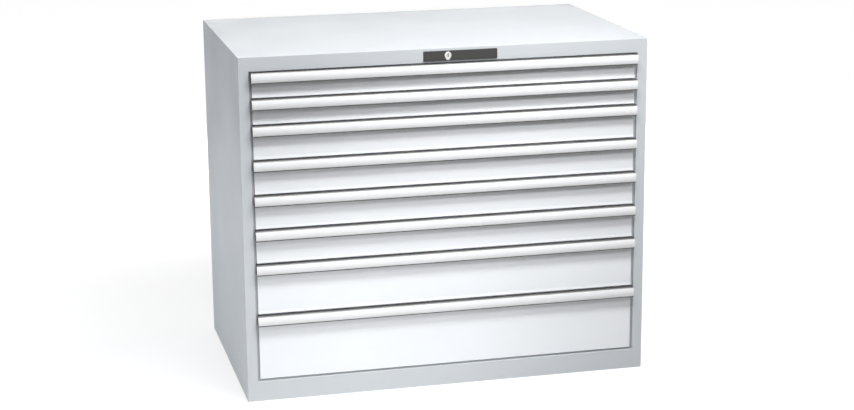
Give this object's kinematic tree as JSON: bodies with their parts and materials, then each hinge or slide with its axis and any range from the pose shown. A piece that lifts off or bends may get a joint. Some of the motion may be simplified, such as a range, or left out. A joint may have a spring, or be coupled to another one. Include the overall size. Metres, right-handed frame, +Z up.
{
  "type": "modular drawer cabinet",
  "caption": "Free-standing sheet steel drawer cabinet with full-width label handles, fully extending drawers on telescopic roller runners and a central lock.",
  "frame": {"origin": "centre of the footprint on the floor, handles included", "axes": "+X to the right as seen from the front, +Y to the back, +Z up"},
  "size_m": [1.193, 0.745, 1],
  "materials": {
    "housing_paint": "satin",
    "front_paint": "satin",
    "drawer_paint": "satin",
    "handle_metal": "anodised",
    "label": "clear cover over white",
    "dark_plastic": "fine grain",
    "runner_steel": "zinc plated",
    "upright_steel": "galvanised",
    "lock_metal": "nickel plated"
  },
  "bodies": {
    "housing": {"side_panel_left": "housing_paint", "side_panel_right": "housing_paint", "top_panel": "housing_paint", "base_pan": "housing_paint", "back_panel": "housing_paint", "uprights": "upright_steel", "cabinet_rails": "runner_steel", "lock_cover": "dark_plastic", "lock_cylinder": "lock_metal"},
    "drawer_1": {"drawer_1_body": "drawer_paint", "drawer_1_front": "front_paint", "drawer_1_handle": "handle_metal", "drawer_1_label_strip": "label", "drawer_1_end_caps": "dark_plastic"},
    "carriages_1": {"drawer_1_carriages": "runner_steel"},
    "drawer_2": {"drawer_2_body": "drawer_paint", "drawer_2_front": "front_paint", "drawer_2_handle": "handle_metal", "drawer_2_label_strip": "label", "drawer_2_end_caps": "dark_plastic"},
    "carriages_2": {"drawer_2_carriages": "runner_steel"},
    "drawer_3": {"drawer_3_body": "drawer_paint", "drawer_3_front": "front_paint", "drawer_3_handle": "handle_metal", "drawer_3_label_strip": "label", "drawer_3_end_caps": "dark_plastic"},
    "carriages_3": {"drawer_3_carriages": "runner_steel"},
    "drawer_4": {"drawer_4_body": "drawer_paint", "drawer_4_front": "front_paint", "drawer_4_handle": "handle_metal", "drawer_4_label_strip": "label", "drawer_4_end_caps": "dark_plastic"},
    "carriages_4": {"drawer_4_carriages": "runner_steel"},
    "drawer_5": {"drawer_5_body": "drawer_paint", "drawer_5_front": "front_paint", "drawer_5_handle": "handle_metal", "drawer_5_label_strip": "label", "drawer_5_end_caps": "dark_plastic"},
    "carriages_5": {"drawer_5_carriages": "runner_steel"},
    "drawer_6": {"drawer_6_body": "drawer_paint", "drawer_6_front": "front_paint", "drawer_6_handle": "handle_metal", "drawer_6_label_strip": "label", "drawer_6_end_caps": "dark_plastic"},
    "carriages_6": {"drawer_6_carriages": "runner_steel"},
    "drawer_7": {"drawer_7_body": "drawer_paint", "drawer_7_front": "front_paint", "drawer_7_handle": "handle_metal", "drawer_7_label_strip": "label", "drawer_7_end_caps": "dark_plastic"},
    "carriages_7": {"drawer_7_carriages": "runner_steel"},
    "drawer_8": {"drawer_8_body": "drawer_paint", "drawer_8_front": "front_paint", "drawer_8_handle": "handle_metal", "drawer_8_label_strip": "label", "drawer_8_end_caps": "dark_plastic"},
    "carriages_8": {"drawer_8_carriages": "runner_steel"},
    "lock_plug": {"lock_plug": "lock_metal"},
    "lock_link": {"lock_link": "runner_steel"},
    "lock_bar": {"lock_bar": "runner_steel"}
  },
  "joints": [
    {"name": "drawer_1_slide", "type": "slide", "parent": "housing", "child": "drawer_1", "axis": [0, -1, 0], "range_m": [0, 0.63]},
    {"name": "carriages_1_slide", "type": "slide", "parent": "housing", "child": "carriages_1", "axis": [0, -1, 0], "range_m": [0, 0.315]},
    {"name": "drawer_2_slide", "type": "slide", "parent": "housing", "child": "drawer_2", "axis": [0, -1, 0], "range_m": [0, 0.63]},
    {"name": "carriages_2_slide", "type": "slide", "parent": "housing", "child": "carriages_2", "axis": [0, -1, 0], "range_m": [0, 0.315]},
    {"name": "drawer_3_slide", "type": "slide", "parent": "housing", "child": "drawer_3", "axis": [0, -1, 0], "range_m": [0, 0.63]},
    {"name": "carriages_3_slide", "type": "slide", "parent": "housing", "child": "carriages_3", "axis": [0, -1, 0], "range_m": [0, 0.315]},
    {"name": "drawer_4_slide", "type": "slide", "parent": "housing", "child": "drawer_4", "axis": [0, -1, 0], "range_m": [0, 0.63]},
    {"name": "carriages_4_slide", "type": "slide", "parent": "housing", "child": "carriages_4", "axis": [0, -1, 0], "range_m": [0, 0.315]},
    {"name": "drawer_5_slide", "type": "slide", "parent": "housing", "child": "drawer_5", "axis": [0, -1, 0], "range_m": [0, 0.63]},
    {"name": "carriages_5_slide", "type": "slide", "parent": "housing", "child": "carriages_5", "axis": [0, -1, 0], "range_m": [0, 0.315]},
    {"name": "drawer_6_slide", "type": "slide", "parent": "housing", "child": "drawer_6", "axis": [0, -1, 0], "range_m": [0, 0.63]},
    {"name": "carriages_6_slide", "type": "slide", "parent": "housing", "child": "carriages_6", "axis": [0, -1, 0], "range_m": [0, 0.315]},
    {"name": "drawer_7_slide", "type": "slide", "parent": "housing", "child": "drawer_7", "axis": [0, -1, 0], "range_m": [0, 0.63]},
    {"name": "carriages_7_slide", "type": "slide", "parent": "housing", "child": "carriages_7", "axis": [0, -1, 0], "range_m": [0, 0.315]},
    {"name": "drawer_8_slide", "type": "slide", "parent": "housing", "child": "drawer_8", "axis": [0, -1, 0], "range_m": [0, 0.63]},
    {"name": "carriages_8_slide", "type": "slide", "parent": "housing", "child": "carriages_8", "axis": [0, -1, 0], "range_m": [0, 0.315]},
    {"name": "lock_turn", "type": "hinge", "parent": "housing", "child": "lock_plug", "pos_m": [0, -0.3565, 0.9795], "axis": [0, 1, 0], "range_deg": [0, 90]},
    {"name": "lock_link_slide", "type": "slide", "parent": "housing", "child": "lock_link", "axis": [-1, 0, 0], "range_m": [0, 0.012]},
    {"name": "lock_bar_lift", "type": "slide", "parent": "housing", "child": "lock_bar", "axis": [0, 0, 1], "range_m": [0, 0.012]}
  ],
  "couplings": [
    {"joint": "carriages_1_slide", "follows": "drawer_1_slide", "ratio": 0.5},
    {"joint": "carriages_2_slide", "follows": "drawer_2_slide", "ratio": 0.5},
    {"joint": "carriages_3_slide", "follows": "drawer_3_slide", "ratio": 0.5},
    {"joint": "carriages_4_slide", "follows": "drawer_4_slide", "ratio": 0.5},
    {"joint": "carriages_5_slide", "follows": "drawer_5_slide", "ratio": 0.5},
    {"joint": "carriages_6_slide", "follows": "drawer_6_slide", "ratio": 0.5},
    {"joint": "carriages_7_slide", "follows": "drawer_7_slide", "ratio": 0.5},
    {"joint": "carriages_8_slide", "follows": "drawer_8_slide", "ratio": 0.5},
    {"joint": "lock_turn", "follows": "lock_bar_lift", "rad_per_m": 130.9},
    {"joint": "lock_link_slide", "follows": "lock_bar_lift", "ratio": 1}
  ]
}
